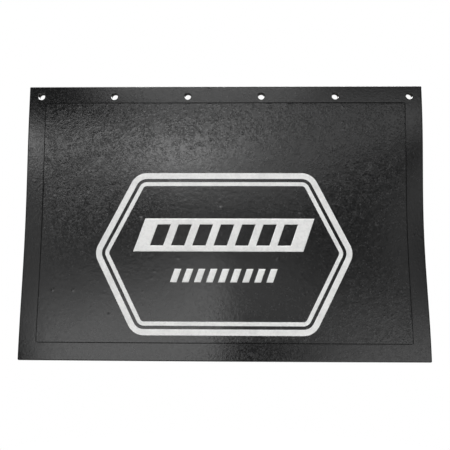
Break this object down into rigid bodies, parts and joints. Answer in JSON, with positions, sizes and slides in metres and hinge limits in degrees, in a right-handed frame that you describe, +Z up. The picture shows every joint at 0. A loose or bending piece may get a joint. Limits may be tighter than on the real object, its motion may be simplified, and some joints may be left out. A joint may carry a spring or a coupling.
{
  "type": "mud flap",
  "caption": "Wide rubber mud flap with a reinforcing ply, bolt holes along its top edge, an engraved border line and a plain white badge; it flexes below its top band.",
  "frame": {"origin": "middle of the row of bolt holes, in the sheet's middle plane", "axes": "+X along the width, to the right as seen from the front; +Y through the sheet, from the printed front to the plain back; +Z up along the hanging sheet"},
  "size_m": [0.6096, 0.0101, 0.4191],
  "materials": {
    "face_rubber": "satin, pebbled, with a grey bloom",
    "woven_ply": "coarse plain weave, rubber filled",
    "back_rubber": "matt, cloth-marked",
    "badge_white": "satin"
  },
  "bodies": {
    "mounting_band": {"mounting_band_face_rubber": "face_rubber", "mounting_band_woven_ply": "woven_ply", "mounting_band_back_rubber": "back_rubber"},
    "upper_bend": {"upper_bend_face_rubber": "face_rubber", "upper_bend_woven_ply": "woven_ply", "upper_bend_back_rubber": "back_rubber"},
    "lower_bend": {"lower_bend_face_rubber": "face_rubber", "lower_bend_woven_ply": "woven_ply", "lower_bend_back_rubber": "back_rubber"},
    "hanging_panel": {"hanging_panel_face_rubber": "face_rubber", "hanging_panel_woven_ply": "woven_ply", "hanging_panel_back_rubber": "back_rubber", "badge_outer_line": "badge_white", "badge_inner_line": "badge_white", "badge_band": "badge_white", "badge_dashes": "badge_white"}
  },
  "joints": [
    {"name": "first_bend", "type": "hinge", "parent": "mounting_band", "child": "upper_bend", "pos_m": [0, 0, -0.02857], "axis": [1, 0, 0], "range_deg": [-30, 30], "stiffness_Nm_per_rad": 6},
    {"name": "second_bend", "type": "hinge", "parent": "upper_bend", "child": "lower_bend", "pos_m": [0, 0, -0.06032], "axis": [1, 0, 0], "range_deg": [-26, 26], "stiffness_Nm_per_rad": 6},
    {"name": "third_bend", "type": "hinge", "parent": "lower_bend", "child": "hanging_panel", "pos_m": [0, 0, -0.09208], "axis": [1, 0, 0], "range_deg": [-21.5, 21.5], "stiffness_Nm_per_rad": 6}
  ],
  "couplings": [
    {"joint": "second_bend", "follows": "first_bend", "ratio": 0.85},
    {"joint": "third_bend", "follows": "first_bend", "ratio": 0.7}
  ]
}
